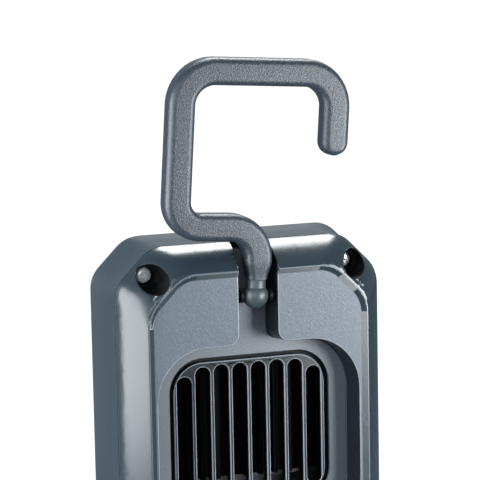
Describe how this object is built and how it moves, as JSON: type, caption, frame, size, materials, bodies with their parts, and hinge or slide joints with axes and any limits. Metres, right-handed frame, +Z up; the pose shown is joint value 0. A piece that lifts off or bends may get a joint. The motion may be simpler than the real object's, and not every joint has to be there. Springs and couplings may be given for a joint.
{
  "type": "work light",
  "caption": "Flat hand-held rechargeable work light: finned vent and folding C-shaped hook stowed in a pocket on the back, lens and button on the front.",
  "frame": {"origin": "on the surface the light stands on, under the middle of its bounding box", "axes": "+Z up along the raised hook, back face with the hook pocket towards -Y, lens towards +Y, +X to the right seen from the back"},
  "size_m": [0.0984, 0.035, 0.1966],
  "materials": {
    "shell_plastic": "satin moulded ABS, fine grain on the recessed face",
    "housing_plastic": "fine matt moulded ABS",
    "bezel_plastic": "satin moulded ABS",
    "clear_lens": "clear polycarbonate",
    "seal_rubber": "soft black silicone",
    "reflector_silver": "metallised plastic",
    "board_white": "white solder mask",
    "led_phosphor": "yellow phosphor",
    "sink_aluminium": "black anodised",
    "grille_plastic": "satin moulded nylon",
    "hook_nylon": "spark-textured glass-filled nylon",
    "ball_plastic": "smooth satin acetal",
    "dark_steel": "blackened steel",
    "zinc_steel": "zinc plated",
    "cell_wrap": "shrink wrapped cell",
    "tray_plastic": "moulded ABS",
    "nickel_strip": "nickel plated",
    "board_green": "green solder mask",
    "switch_black": "moulded plastic",
    "button_rubber": "soft-touch silicone",
    "light_pipe": "clear acrylic light pipe",
    "port_steel": "drawn steel shell",
    "cover_rubber": "soft black rubber"
  },
  "bodies": {
    "light": {"back_shell": "shell_plastic", "front_housing": "housing_plastic", "front_bezel": "bezel_plastic", "lens": "clear_lens", "lens_gasket": "seal_rubber", "reflector": "reflector_silver", "led_board": "board_white", "leds": "led_phosphor", "heat_sink": "sink_aluminium", "vent_grille": "grille_plastic", "pivot_pin": "dark_steel", "pivot_washers": "seal_rubber", "shell_seal": "seal_rubber", "body_screws": "zinc_steel", "lamp_screws": "zinc_steel", "board_screws": "zinc_steel", "battery_cell": "cell_wrap", "battery_tray": "tray_plastic", "battery_contacts": "nickel_strip", "control_board": "board_green", "tact_switch": "switch_black", "gauge_lights": "light_pipe", "charge_port": "port_steel", "charge_board": "board_green", "port_cover_pin": "dark_steel"},
    "hook": {"hook": "hook_nylon", "pivot_ball": "ball_plastic"},
    "button": {"power_button": "button_rubber"},
    "port_cover": {"port_cover": "cover_rubber"}
  },
  "joints": [
    {"name": "hook_fold", "type": "hinge", "parent": "light", "child": "hook", "pos_m": [0, -0.0131, 0.1163], "axis": [0.9994, 0, -0.0349], "range_deg": [0, 180]},
    {"name": "button_press", "type": "slide", "parent": "light", "child": "button", "axis": [0, -1, 0], "range_m": [0, 0.0008], "stiffness_N_per_m": 600, "springref_m": -0.001},
    {"name": "cover_swing", "type": "hinge", "parent": "light", "child": "port_cover", "pos_m": [0.04615, -0.0002, 0.0468], "axis": [0, -1, 0], "range_deg": [0, 110]}
  ]
}
